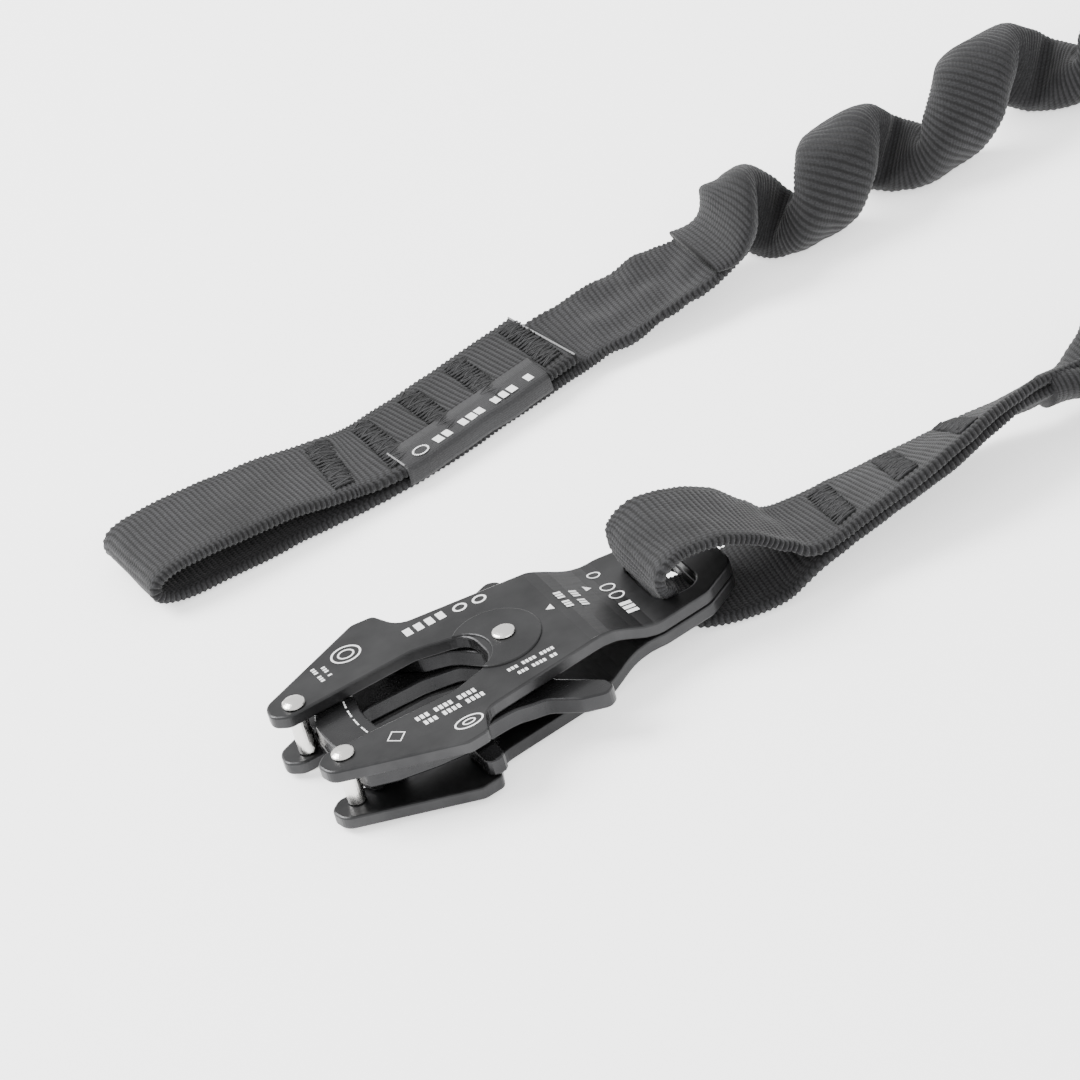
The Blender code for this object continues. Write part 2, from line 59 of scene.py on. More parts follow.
GATE_TOP = 12.9
PRINT_AND_HIGHLIGHT_LIFT = 0.03  # print and the painted highlight on the gate's nose stand this far above the metal
INK_LIFT_BEND = 0.10  # and this far where the plate bends in facets
LABEL_T = 0.35
LABEL_X = np.linspace(15.5, 54.0, 60)
# Where the painted highlight on the near gate's nose runs: its angles in degrees and its radii in mm.
NOSE_HIGHLIGHT_DEG = (165.0, 187.0)
NOSE_HIGHLIGHT_R = (35.5, 35.85)

# ---------------------------------------------------------------- camera, floor and light


def add_camera():
    """1.67 m away, 34 degrees above the floor, on a long lens, and rolled 16.5 degrees."""
    turn, down, roll = math.radians(18.4), math.radians(34.0), math.radians(-16.5)
    target = Vector((21.13, 23.77, 16.3)) * MM
    forward = Vector((math.cos(down) * math.sin(turn), math.cos(down) * math.cos(turn), -math.sin(down)))
    right_level = Vector((math.cos(turn), -math.sin(turn), 0))
    up_level = right_level.cross(forward)
    right = right_level * math.cos(roll) + up_level * math.sin(roll)
    up = up_level * math.cos(roll) - right_level * math.sin(roll)
    data = bpy.data.cameras.new("camera")
    data.sensor_width = 36.0
    data.lens = 266.67
    camera = bpy.data.objects.new("camera", data)
    bpy.context.scene.collection.objects.link(camera)
    matrix = camera.matrix_world.copy()
    for row in range(3):
        matrix[row][0], matrix[row][1], matrix[row][2] = right[row], up[row], -forward[row]
        matrix[row][3] = target[row] - 1.66667 * forward[row]
    camera.matrix_world = matrix
    camera.data.clip_end = 20
    bpy.context.scene.camera = camera


def area_light(name, place, target, size, power):
    data = bpy.data.lights.new(name, "AREA")
    data.shape = "RECTANGLE"
    data.size, data.size_y = size
    data.energy = power
    made = bpy.data.objects.new(name, data)
    bpy.context.scene.collection.objects.link(made)
    made.location = place
    made.rotation_euler = (Vector(target) - Vector(place)).to_track_quat("-Z", "Y").to_euler()
    return made


def add_studio():
    mesh = bpy.data.meshes.new("floor")
    mesh.from_pydata([(-8, -8, 0), (8, -8, 0), (8, 8, 0), (-8, 8, 0)], [], [(0, 1, 2, 3)])
    floor = bpy.data.objects.new("floor", mesh)
    bpy.context.scene.collection.objects.link(floor)
    look = bpy.data.materials.new("floor_paper")
    look.use_nodes = True
    shader = look.node_tree.nodes["Principled BSDF"]
    shader.inputs["Base Color"].default_value = (0.9, 0.9, 0.9, 1)
    shader.inputs["Roughness"].default_value = 0.9
    shader.inputs["Specular IOR Level"].default_value = 0.1
    shader.inputs["Emission Color"].default_value = (1, 1, 1, 1)
    shader.inputs["Emission Strength"].default_value = 1.1
    mesh.materials.append(look)
    world = bpy.data.worlds.new("studio")
    world.use_nodes = True
    world.node_tree.nodes["Background"].inputs["Color"].default_value = (1, 1, 1, 1)
    world.node_tree.nodes["Background"].inputs["Strength"].default_value = 1.55
    bpy.context.scene.world = world
    area_light("key", (-0.75, 0.75, 1.1), (0.05, 0.04, 0), (0.9, 0.9), 55)
    area_light("fill", (0.3, -1.2, 1.0), (0.05, 0.04, 0), (1.2, 0.8), 9)


# ---------------------------------------------------------------- paths, in mm
# The lanyard's points repeat part.py's.

# Stations are (x, y, z, width, roll in degrees). A roll lifts the near (-Y) edge. They follow the CAD straps,
# with a few more stations inside the sleeve, and the web lies nearer to the eye's front than the CAD does.
HOOK_STRAP = [
    (138, -3, 10.8, 9, 40), (127, -3, 11.2, 13, 40), (114, -3, 11, 21, 32), (97, -4, 9.6, 25.4, 22),
    (80, -4, 8.2, 25.4, 14),
]
EYE_LOOP = [
    (66, -4, 8.9, 25.4, 6), (60, -3, 12.6, 25.4, 3), (54, -2, 17.8, 25.4, 0), (46, -1.5, 21.8, 25.4, 0),
    (38, -1, 22.9, 25.4, 0), (32.6, -1, 20.8, 24.6, 0), (31.8, -0.5, 16.6, 22, 0),
    (33.8, 0, 12.6, 18.0, 0), (34.6, 0, 8.5, 17.4, 0), (36.6, 0, 4.4, 18.0, 0), (42, -1, 2.2, 21, 0),
    (50, -2, 2.0, 24, 0), (58, -3, 3.2, 25.4, 0), (66, -4, 5.6, 25.4, 6),
]
LANYARD = [
    (127.6, -3, 10.6), (146, -3, 10.6), (168, -4, 10.6), (194, -5, 10.6), (219, -2, 10.6), (241, 9, 10.6),
    (257, 29, 10.6), (262, 54, 10.6), (256, 79, 10.6), (239, 97.5, 10.6), (217, 106.5, 10.6),
    (198, 107, 10.6), (176, 106, 10.6), (154, 104.8, 10.6), (136, 103.8, 10.6), (117, 103, 10.6),
    (99.4, 102.6, 10.6),
]
HAND_LOOP = [
    (110, 102.9, 9.6, 15, 0), (98.0, 102.8, 7.6, 23, 0), (88, 103.6, 6.0, 25.0, 0), (80, 104.4, 5.0, 25.4, 0),
    (63, 105, 2.6, 25.4, 0), (40, 101.5, 1.7, 25.4, 0), (16, 97.3, 1.6, 25.4, 0), (-12, 97.3, 1.6, 25.4, 0),
    (-34, 97.3, 1.8, 25.4, 0), (-42, 97.3, 3.0, 25.4, 0), (-44.4, 97.3, 5.8, 25.4, 0),
    (-42, 97.3, 8.6, 25.4, 0), (-34, 97.3, 9.6, 25.4, 0), (-12, 97.3, 8.4, 25.4, 0), (4, 97.3, 5.8, 25.4, 0),
    (16, 97.3, 4.6, 25.4, 0), (40, 101.5, 4.9, 25.4, 0), (62, 105, 5.9, 25.4, 0),
]


def smooth(points, step):
    """Catmull-Rom through the rows of points, resampled evenly about one step apart along x, y, z."""
    rows = np.array(points, float)
    rows = np.vstack([rows[0], rows, rows[-1]])
    fine = []
    for i in range(1, len(rows) - 2):
        a, b, c, d = rows[i - 1:i + 3]
        for f in np.linspace(0, 1, 60, endpoint=False):
            fine.append(0.5 * (2 * b + (c - a) * f + (2 * a - 5 * b + 4 * c - d) * f ** 2
                               + (3 * b - a - 3 * c + d) * f ** 3))
    fine = np.array(fine + [rows[-1]])
    along = np.r_[0, np.cumsum(np.linalg.norm(np.diff(fine[:, :3], axis=0), axis=1))]
    count = max(2, round(along[-1] / step) + 1)
    wanted = np.linspace(0, along[-1], count)
    return np.column_stack([np.interp(wanted, along, fine[:, k]) for k in range(rows.shape[1])]), wanted


def unit(v):
    return v / np.maximum(np.linalg.norm(v, axis=1, keepdims=True), 1e-12)


def tangents(points):
    return unit(np.gradient(points, axis=0))


def eased(values, low, high):
    share = np.clip((values - low) / (high - low), 0, 1)
    return share * share * (3 - 2 * share)


def bumps(points, scale, seed):
    """Smooth noise from -1 to 1 at each point, always the same for the same seed."""
    shift = Vector((seed * 7.31, seed * 3.17, seed * 5.77))
    return np.array([noise.noise(Vector(p) * scale + shift) for p in points])


def grid_mesh(name, rings, uv):
    """A closed tube from rings of points (rings, around, 3) in mm, with uv (rings, around, 2) in mm."""
    n_rings, around, _ = rings.shape
    first = (np.arange(n_rings - 1)[:, None] * around + np.arange(around)[None, :]).ravel()
    nxt = (np.arange(n_rings - 1)[:, None] * around + (np.arange(around)[None, :] + 1) % around).ravel()
    quads = np.column_stack([first, nxt, nxt + around, first + around])
    verts = rings.reshape(-1, 3) * MM
    mesh = bpy.data.meshes.new(name)
    ends = [list(range(around))[::-1], [(n_rings - 1) * around + k for k in range(around)]]
    faces = quads.tolist() + ends
    mesh.from_pydata(verts.tolist(), [], faces)
    layer = mesh.uv_layers.new(name="UVMap")
    flat = uv.reshape(-1, 2)
    loops = np.zeros(len(mesh.loops), np.int32)
    mesh.loops.foreach_get("vertex_index", loops)
    values = flat[loops]
    # The last column of quads closes the loop, so its uv runs on instead of jumping back.
    seam = np.zeros(len(mesh.loops), bool)
    per_quad = np.arange(len(quads))
    last = per_quad[(per_quad % around) == around - 1]
    for corner in (1, 2):
        seam[last * 4 + corner] = True
    girth = flat[around - 1, 0] + (flat[around - 1, 0] - flat[around - 2, 0])
    values[seam, 0] = girth
    layer.data.foreach_set("uv", values.astype(np.float32).ravel())
    mesh.shade_smooth()
    made = bpy.data.objects.new(name, mesh)
    bpy.context.scene.collection.objects.link(made)
    return made


def wandering(rings, every, scales, weight, seeds):
    """Two sizes of bumps over rings of points, worked out on every few rings and mixed between them."""
    field = np.array([bumps(row, scales[0], seeds[0]) + weight * bumps(row, scales[1], seeds[1])
                      for row in rings[::every]])
    steps = np.arange(len(rings)) / every
    low = np.minimum(steps.astype(int), len(field) - 1)
    high = np.minimum(low + 1, len(field) - 1)
    mix = (steps - low)[:, None]
    return field[low] * (1 - mix) + field[high] * mix


def flat_section(half_w, half_t, across=13, turn=4):
    """A flattened tube's sections as two arrays, side and height, one row for each half_w and half_t."""
    flat = np.linspace(-1, 1, across)
    angles = np.linspace(-math.pi / 2, math.pi / 2, turn + 2)[1:-1]
    side = np.r_[flat, np.zeros(turn), flat[::-1], np.zeros(turn)]
    end_cos = np.r_[np.zeros(across), np.cos(angles), np.zeros(across), -np.cos(angles)]
    up = np.r_[-np.ones(across), np.sin(angles), np.ones(across), np.sin(angles)[::-1]]
    at_end = np.r_[np.zeros(across), np.ones(turn), np.zeros(across), -np.ones(turn)]
    inner = np.maximum(half_w - half_t, half_t * 0.05)[:, None]
    x = side[None, :] * inner + at_end[None, :] * inner + end_cos[None, :] * half_t[:, None]
    z = up[None, :] * half_t[:, None]
    return x, z


def webbing(name, stations, seed, wrinkle, bunched=1.0, rough=None):
    """Ribbed flat webbing swept along stations (x, y, z, width, roll). Returns it and its rails.

    Bunched is how much thicker it is in the eye, and rough(centre) how much more it wrinkles there."""
    path, along = smooth(stations, RIB / 6)
    centre = path[:, :3]
    run = tangents(centre)
    side = np.tile([0.0, 1.0, 0.0], (len(path), 1))
    side = unit(side - run * (run * side).sum(1)[:, None])
    forward = np.where(run[:, :1] < 0, -1.0, 1.0)
    roll = np.radians(-path[:, 4])[:, None] * forward
    side = unit(side * np.cos(roll) + np.cross(run, side) * np.sin(roll))
    normal = np.cross(run, side)
    half_w = path[:, 3] / 2
    half_t = np.full(len(path), WEB_T / 2)
    in_eye = eased(centre[:, 2], 3.5, 6.5) * (1 - eased(centre[:, 2], 12, 17)) * (centre[:, 0] < 41)
    half_t = half_t * (1 + (bunched - 1) * in_eye)
    x, z = flat_section(half_w, half_t - RIB_HEIGHT)
    # The ribs lean a little and wander, as the weave does.
    lean = x * 0.02 + 0.25 * np.array([bumps(np.column_stack([x[0], np.full(x.shape[1], s * 0.05),
                                                              np.zeros(x.shape[1])]), 0.15, seed)
                                       for s in along[::24]]).repeat(24, axis=0)[:len(along)]
    shifted = along[:, None] + lean
    norm_x = np.clip(np.abs(x) / np.maximum(half_w[:, None], 1e-6), 0, 1)
    selvedge = eased(norm_x, 0.86, 0.93)
    shifted = shifted + selvedge * RIB * 0.5 * np.where(norm_x > 0.95, 0.0, 1.0)
    wave = np.cos(2 * math.pi * shifted / RIB)
    rib = RIB_HEIGHT * (1 - (0.5 - 0.5 * wave) ** 1.7) * (1 + 0.5 * selvedge)
    z = z + np.sign(z) * rib
    x = x + np.sign(x) * eased(norm_x, 0.95, 1.0) * (0.30 * wave + 0.05)
    rings = centre[:, None, :] + side[:, None, :] * x[..., None] + normal[:, None, :] * z[..., None]
    field = wandering(rings, 6, (0.11, 0.26), 0.45, (seed, seed + 3))
    strength = wrinkle if rough is None else (wrinkle * rough(centre))[:, None]
    rings = rings + normal[:, None, :] * (field * strength)[..., None]
    girth = np.r_[0, np.cumsum(np.hypot(np.diff(x[len(x) // 2]), np.diff(z[len(z) // 2])))]
    uv = np.stack([np.broadcast_to(girth[None, :], x.shape), shifted], 2)
    made = grid_mesh(name, rings, uv)
    return made, {"centre": centre, "side": side, "normal": normal, "half_t": half_t, "along": along,
                  "half_w": half_w}


def helix_sleeve(name, stations, seed):
    """The scrunched sleeve: ribbed webbing that winds round its core's line, left-handed.

    Returns the sleeve, the line that its middle takes and the core's own line."""
    path, along = smooth(stations, 1.0)
    total = along[-1]
    run = tangents(path)
    up = np.tile([0.0, 0.0, 1.0], (len(path), 1))
    side = unit(np.cross(up, run))
    # Turns are counted from the hand loop's end, where the wave's crests are seen.
    back = total - along
    pitch = 23.4 + 23.9 * np.clip(back / 100, 0, 0.85)
    turns = np.r_[0, np.cumsum(1 / pitch[::-1])[:-1]][::-1]
    angle = 2 * math.pi * turns + SLEEVE_PHASE
    ease = eased(back, 0, 15) * eased(along, 0, 26)
    reach = SLEEVE_REACH * ease * (1 + 0.05 * np.sin(back / 13.7 + 1.0))
    offset = side * (np.cos(angle) * reach)[:, None] + up * (np.sin(angle) * reach)[:, None]
    helix = path + offset
    helix[:, 2] += 0.6 * ease
    step = np.linalg.norm(np.diff(helix, axis=0), axis=1)
    length = np.r_[0, np.cumsum(step)]
    count = round(length[-1] / (RIB / 5))
    s = np.linspace(0, length[-1], count)
    centre = np.column_stack([np.interp(s, length, helix[:, k]) for k in range(3)])
    radial = np.column_stack([np.interp(s, length, offset[:, k]) for k in range(3)])
    easing = np.interp(s, length, ease)
    facing = np.interp(s, length, eased(back, 7, 15) * eased(along, 0, 26))
    hook_end = eased(np.interp(s, length, along), 0, 24)
    hand_end = eased(np.interp(s, length, back), 0, 16)
    smoothing = np.hanning(41)
    smoothing /= smoothing.sum()
    padded_line = np.vstack([np.repeat(centre[:1], 20, 0), centre, np.repeat(centre[-1:], 20, 0)])
    centre = np.column_stack([np.convolve(padded_line[:, k], smoothing, "valid") for k in range(3)])
    # Near each end the sections stay square to the core's line, so that the wide tube doesn't fold on itself.
    core_run = tangents(path)
    core_run = np.column_stack([np.interp(s, length, core_run[:, k]) for k in range(3)])
    square = np.interp(s, length, eased(back, 3, 30) * eased(along, 3, 30))[:, None]
    run = unit(core_run * (1 - square) + tangents(centre) * square)
    flat_up = np.tile([0.0, 0.0, 1.0], (len(s), 1))
    roll = np.radians(38.0) * (1 - hook_end)[:, None]
    flat_up = unit(flat_up - run * (run * flat_up).sum(1)[:, None])
    flat_up = unit(flat_up * np.cos(roll) - np.cross(run, flat_up) * np.sin(roll))
    out = unit(radial - run * (run * radial).sum(1)[:, None] + 1e-9)
    normal = unit(flat_up * (1 - facing)[:, None] + out * facing[:, None])
    normal = unit(normal - run * (run * normal).sum(1)[:, None])
    side = np.cross(normal, run)
    flatten = np.minimum(hook_end, hand_end)
    near_hook = hook_end < 1
    half_w = np.where(near_hook, HOOK_END_W, HAND_END_W)
    half_w = half_w + (SLEEVE_W - half_w) * flatten
    half_t = np.where(near_hook, HOOK_END_T, HAND_END_T)
    half_t = half_t + (SLEEVE_T - half_t) * flatten
    around = 40
    turn = 2 * math.pi * np.arange(around) / around
    # A soft rectangle-like ellipse, pinched where the bend's inner side creases.
    c, q = np.cos(turn), np.sin(turn)
    power = 2.5
    radius = (np.abs(c) ** power + np.abs(q) ** power) ** (-1 / power)
    x = half_w[:, None] * c * radius
    z = half_t[:, None] * q * radius
    inner = np.clip(-q, 0, 1)[None, :]
    crease = 0.5 + 0.5 * np.sin(2 * math.pi * s / 13.0 + 1.3 * np.sin(s / 17.0))
    z = z + inner ** 2 * (2.8 * easing * crease ** 2)[:, None]
    rib = RIB_HEIGHT * (1 - (0.5 - 0.5 * np.cos(2 * math.pi * s / RIB)) ** 1.7)
    lift = 1 + (rib[:, None] / np.hypot(x, z))
    x, z = x * lift, z * lift
    rings = centre[:, None, :] + side[:, None, :] * x[..., None] + normal[:, None, :] * z[..., None]
    field = wandering(rings, 8, (0.10, 0.22), 0.5, (seed, seed + 5))
    outward = unit((side[:, None, :] * x[..., None] + normal[:, None, :] * z[..., None]).reshape(-1, 3))
    rings = rings + outward.reshape(rings.shape) * (field * 0.8 * easing[:, None])[..., None]
    rings[..., 2] = np.maximum(rings[..., 2], 0.25 + 0.1 * rib[:, None])
    girth = np.r_[0, np.cumsum(np.hypot(np.diff(x[len(x) // 2]), np.diff(z[len(z) // 2])))]
    uv = np.stack([np.broadcast_to(girth[None, :], x.shape), np.broadcast_to(s[:, None], x.shape)], 2)
    made = grid_mesh(name, rings, uv)
    return made, centre, path


def thread_curve(name, lines, radius):
    """Sewing thread: one mesh from several open polylines in mm."""
    data = bpy.data.curves.new(name, "CURVE")
    data.dimensions = "3D"
    data.bevel_depth = radius * MM
    data.bevel_resolution = 1
    data.use_fill_caps = True
    for line in lines:
        spline = data.splines.new("POLY")
        spline.points.add(len(line) - 1)
        for point, place in zip(spline.points, line):
            point.co = (*(np.array(place) * MM), 1)
    guide = bpy.data.objects.new(name + "_guide", data)
    bpy.context.scene.collection.objects.link(guide)
    bpy.context.view_layer.update()
    mesh = bpy.data.meshes.new_from_object(guide.evaluated_get(bpy.context.evaluated_depsgraph_get()))
    bpy.data.objects.remove(guide)
    mesh.name = name
    mesh.shade_smooth()
    made = bpy.data.objects.new(name, mesh)
    bpy.context.scene.collection.objects.link(made)
    return made


def on_strip(rails, s, across, height):
    """A point on a strip's upper face at arc length s, across mm from its middle and height mm above."""
    at = np.clip(s, rails["along"][0], rails["along"][-1])
    take = lambda rows: np.array([np.interp(at, rails["along"], rows[:, k]) for k in range(3)])
    thick = np.interp(at, rails["along"], rails["half_t"])
    return take(rails["centre"]) + take(rails["side"]) * across + take(rails["normal"]) * (thick + height)


def tack_lines(rails, s, half_length, half_width, seed):
    """Bar-tack thread: crossed zigzags that a machine sews back and forth."""
    random = np.random.default_rng(seed)
    lines = []
    for layer, pitch in enumerate((1.15, 1.25, 3.9)):
        line = []
        across = -half_length
        k = 0
        while across <= half_length:
            swing = half_width * (1 if k % 2 else -1) * (0.92 + 0.12 * random.random())
            lean = across * 0.10
            line.append(on_strip(rails, s + swing + lean, across, 0.05 + 0.10 * layer))
            line.append(on_strip(rails, s + lean, across + pitch / 4, 0.30 + 0.12 * layer))
            across += pitch / 2 * (0.9 + 0.2 * random.random())
            k += 1
        lines.append(line)
    return lines


# ---------------------------------------------------------------- materials

def nodes_of(name):
    made = bpy.data.materials.new(name)
    made.use_nodes = True
    tree = made.node_tree
    return made, tree, tree.nodes["Principled BSDF"]


def link(tree, a, b):
    tree.links.new(a, b)


def mapped(tree, source, scale):
    mapping = tree.nodes.new("ShaderNodeMapping")
    mapping.inputs["Scale"].default_value = scale
    link(tree, source, mapping.inputs["Vector"])
    return mapping.outputs["Vector"]


def noise_node(tree, vector, scale, detail=4.0, roughness=0.55):
    node = tree.nodes.new("ShaderNodeTexNoise")
    node.inputs["Scale"].default_value = scale
    node.inputs["Detail"].default_value = detail
    node.inputs["Roughness"].default_value = roughness
    link(tree, vector, node.inputs["Vector"])
    return node.outputs["Fac"]


def ramp(tree, value, low, high, colour_low, colour_high):
    node = tree.nodes.new("ShaderNodeMapRange")
    node.inputs["From Min"].default_value = low
    node.inputs["From Max"].default_value = high
    link(tree, value, node.inputs["Value"])
    mix = tree.nodes.new("ShaderNodeMix")
    mix.data_type = "RGBA"
    mix.inputs["A"].default_value = (*colour_low, 1)
    mix.inputs["B"].default_value = (*colour_high, 1)
    link(tree, node.outputs["Result"], mix.inputs["Factor"])
    return mix.outputs["Result"]


def to_range(tree, value, low, high, out_low, out_high):
    node = tree.nodes.new("ShaderNodeMapRange")
    for key, number in (("From Min", low), ("From Max", high), ("To Min", out_low), ("To Max", out_high)):
        node.inputs[key].default_value = number
    link(tree, value, node.inputs["Value"])
    return node.outputs["Result"]


def bump(tree, height, strength, distance, before=None):
    node = tree.nodes.new("ShaderNodeBump")
    node.inputs["Strength"].default_value = strength
    node.inputs["Distance"].default_value = distance
    link(tree, height, node.inputs["Height"])
    if before is not None:
        link(tree, before, node.inputs["Normal"])
    return node.outputs["Normal"]


def metal(name, low, high, rough, metallic, grain=1400.0, strength=0.10):
    """Anodised or bright metal: faint blotches, fine grain and scattered rub marks."""
    made, tree, shader = nodes_of(name)
    where = tree.nodes.new("ShaderNodeTexCoord").outputs["Object"]
    cloud = noise_node(tree, where, 70.0, 3.0)
    link(tree, ramp(tree, cloud, 0.35, 0.65, low, high), shader.inputs["Base Color"])
    rub = noise_node(tree, mapped(tree, where, (1.0, 5.0, 1.0)), 240.0, 6.0, 0.6)
    link(tree, to_range(tree, rub, 0.3, 0.7, rough * 0.82, rough * 1.22), shader.inputs["Roughness"])
    shader.inputs["Metallic"].default_value = metallic
    fine = noise_node(tree, where, grain, 2.0)
    link(tree, bump(tree, fine, strength, 0.00004), shader.inputs["Normal"])
    return made


def cloth(name, dark, light, rough=0.86, sheen=0.10, knit=True):
    """Webbing yarn over the modelled ribs, from the strip's own uv in millimetres, with painted shade in the
    grooves between knitted ribs and painted light on their crests.
    """
    made, tree, shader = nodes_of(name)
    coordinates = tree.nodes.new("ShaderNodeTexCoord")
    uv, where = coordinates.outputs["UV"], coordinates.outputs["Object"]
    yarn = tree.nodes.new("ShaderNodeTexWave")
    yarn.wave_type, yarn.bands_direction = "BANDS", "X"
    yarn.inputs["Scale"].default_value = 0.36 if knit else 0.6
    yarn.inputs["Distortion"].default_value = 2.2
    yarn.inputs["Detail"].default_value = 1.0
    yarn.inputs["Detail Scale"].default_value = 1.6
    link(tree, uv, yarn.inputs["Vector"])
    cross = tree.nodes.new("ShaderNodeTexWave")
    cross.wave_type, cross.bands_direction = "BANDS", "Y"
    cross.inputs["Scale"].default_value = 0.314 / RIB
    cross.inputs["Distortion"].default_value = 0.5
    link(tree, uv, cross.inputs["Vector"])
    fuzz = noise_node(tree, where, 2600.0, 3.0, 0.7)
    wear_and_highlight = noise_node(tree, where, 55.0, 4.0, 0.6)
    colour = ramp(tree, fuzz, 0.3, 0.72, dark, light)
    shade = tree.nodes.new("ShaderNodeMix")
    shade.data_type, shade.blend_type = "RGBA", "MULTIPLY"
    shade.inputs["Factor"].default_value = 1.0
    link(tree, colour, shade.inputs["A"])
    link(tree, ramp(tree, wear_and_highlight, 0.3, 0.7, (0.72, 0.72, 0.72), (1.18, 1.18, 1.20)), shade.inputs["B"])
    # Painted shade and light: on knitted webbing the colour darkens in the grooves between the ribs and
    # lightens on their crests.
    groove_shade_mix = tree.nodes.new("ShaderNodeMix")
    groove_shade_mix.data_type, groove_shade_mix.blend_type = "RGBA", "MULTIPLY"
    groove_shade_mix.inputs["Factor"].default_value = 1.0
    link(tree, shade.outputs["Result"], groove_shade_mix.inputs["A"])
    groove_shade = (0.25, 0.25, 0.25) if knit else (1.15, 1.15, 1.15)
    link(tree, ramp(tree, cross.outputs["Fac"], 0.35, 0.95, (1.15, 1.15, 1.15), groove_shade), groove_shade_mix.inputs["B"])
    link(tree, groove_shade_mix.outputs["Result"], shader.inputs["Base Color"])
    shader.inputs["Roughness"].default_value = rough
    shader.inputs["Sheen Weight"].default_value = sheen
    shader.inputs["Sheen Roughness"].default_value = 0.45
    shader.inputs["Specular IOR Level"].default_value = 0.35
    first = bump(tree, yarn.outputs["Fac"], 0.35, 0.00012)
    second = bump(tree, fuzz, 0.55, 0.00018, first)
    link(tree, second, shader.inputs["Normal"])
    return made


def dress(obj, look):
    obj.data.materials.clear()
    obj.data.materials.append(look)


add_camera()
add_studio()

web = cloth("webbing_black", (0.006, 0.006, 0.0064), (0.024, 0.024, 0.0255))
thread_look = cloth("thread_black", (0.007, 0.007, 0.0073), (0.030, 0.030, 0.031), 0.78, 0.05, False)
label_look = cloth("label_tape", (0.010, 0.010, 0.0105), (0.019, 0.019, 0.020), 0.6, 0.05, False)
anodised = metal("anodised_black", (0.030, 0.030, 0.031), (0.046, 0.046, 0.047), 0.34, 0.85)
gate_look = metal("gate_black", (0.024, 0.024, 0.025), (0.036, 0.036, 0.037), 0.24, 0.8)
steel = metal("bright_steel", (0.62, 0.61, 0.59), (0.74, 0.73, 0.71), 0.24, 1.0, 2600.0, 0.2)
spring_look = metal("spring_wire", (0.30, 0.30, 0.31), (0.42, 0.42, 0.43), 0.3, 1.0)
core_look = cloth("core_cover", (0.05, 0.05, 0.05), (0.13, 0.13, 0.13), 0.7, 0.1, False)

# ---------------------------------------------------------------- the cord first

sleeve, sleeve_line, core_line = helix_sleeve("sleeve_webbing", LANYARD, 4)
dress(sleeve, web)
core = thread_curve("core_cord", [sleeve_line[60:-60:8]], CORE_R)
dress(core, core_look)

strap_path = [(x, y, z - LAYER, w, r) for x, y, z, w, r in HOOK_STRAP] + EYE_LOOP[::-1] + [
    (x, y, z + LAYER, w, r) for x, y, z, w, r in HOOK_STRAP[::-1]]
hook_web, hook_rails = webbing("hook_strap_webbing", strap_path, 11, 0.35, EYE_BUNCHING)
dress(hook_web, web)
hand_web, hand_rails = webbing(
    "hand_loop_webbing", HAND_LOOP, 21, 0.30,
    rough=lambda centre: 1 + 3.0 * eased(centre[:, 0], 64, 74) * (1 - eased(centre[:, 0], 96, 104)))
dress(hand_web, web)

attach(sleeve, BODY)
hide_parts("bungee_sleeve")
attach(core, BODY)
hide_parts("elastic_core")
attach(hook_web, BODY)
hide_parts("eye_loop", "hook_strap_lower", "hook_strap_upper")
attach(hand_web, BODY)
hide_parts("hand_loop")

# ---------------------------------------------------------------- stitching


def where_x(rails, x):
    """The arc length at which the strip's upper run, its last, passes x."""
    hits = np.nonzero(np.diff(np.sign(rails["centre"][:, 0] - x)))[0]
    return rails["along"][hits[-1]]


tack_objects = []
for number, x in enumerate(HAND_TACK_X, 1):
    lines = tack_lines(hand_rails, where_x(hand_rails, x), 9.8, 2.6, 40 + number)
    tack = thread_curve(f"hand_tack_{number}", lines, THREAD_R)
    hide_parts(f"hand_loop_tack_{number}")
    tack_objects.append(tack)
for number, x in enumerate(HOOK_TACK_X, 1):
    lines = tack_lines(hook_rails, where_x(hook_rails, x), 9.4, 2.6, 60 + number)
    tack = thread_curve(f"hook_tack_{number}", lines, THREAD_R)
    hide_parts(f"hook_strap_tack_{number}")
    tack_objects.append(tack)
for tack in tack_objects:
    dress(tack, thread_look)
    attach(tack, BODY)


def across_point(x, inward, height):
    """A point on the hand loop's upper run at x, measured inward from its near edge and up from its face."""
    s = where_x(hand_rails, x)
    half = np.interp(s, hand_rails["along"], hand_rails["half_w"])
    return on_strip(hand_rails, s, inward - half, height)


LABEL_SECTION = [(8.4, 0.45), (5.5, 0.5), (2.5, 0.5), (0.4, 0.45), (-0.55, 0.1), (-0.9, -0.8), (-0.95, -2.0),
                 (-0.85, -3.2), (-0.5, -4.1)]


def make_label():
    """A plain woven tape folded over the near edge of the hand loop."""
    section = np.array(LABEL_SECTION)
    inside = section.copy()
    inside[:4, 1] -= LABEL_T
    inside[4] += (LABEL_T * 0.7, -LABEL_T * 0.7)
    inside[5:, 0] += LABEL_T
    loop = np.vstack([section, inside[::-1]])
    rings = []
    for x in LABEL_X:
        wave = 0.16 * math.sin(x / 4.1) + 0.10 * math.sin(x / 1.9 + 1)
        rings.append([across_point(x + 0.10 * y, y - 0.2 + (0.2 if y > 5 else 0), h + wave * (y < 1))
                      for y, h in loop])
    rings = np.array(rings)
    girth = np.r_[0, np.cumsum(np.hypot(*np.diff(loop, axis=0).T))]
    uv = np.stack([np.broadcast_to(girth[None, :], rings.shape[:2]),
                   np.broadcast_to(LABEL_X[:, None], rings.shape[:2])], 2)
    return grid_mesh("label_tape", rings, uv)


label = make_label()
dress(label, label_look)
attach(label, BODY)
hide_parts("woven_label")

# ---------------------------------------------------------------- the connector's own nodes

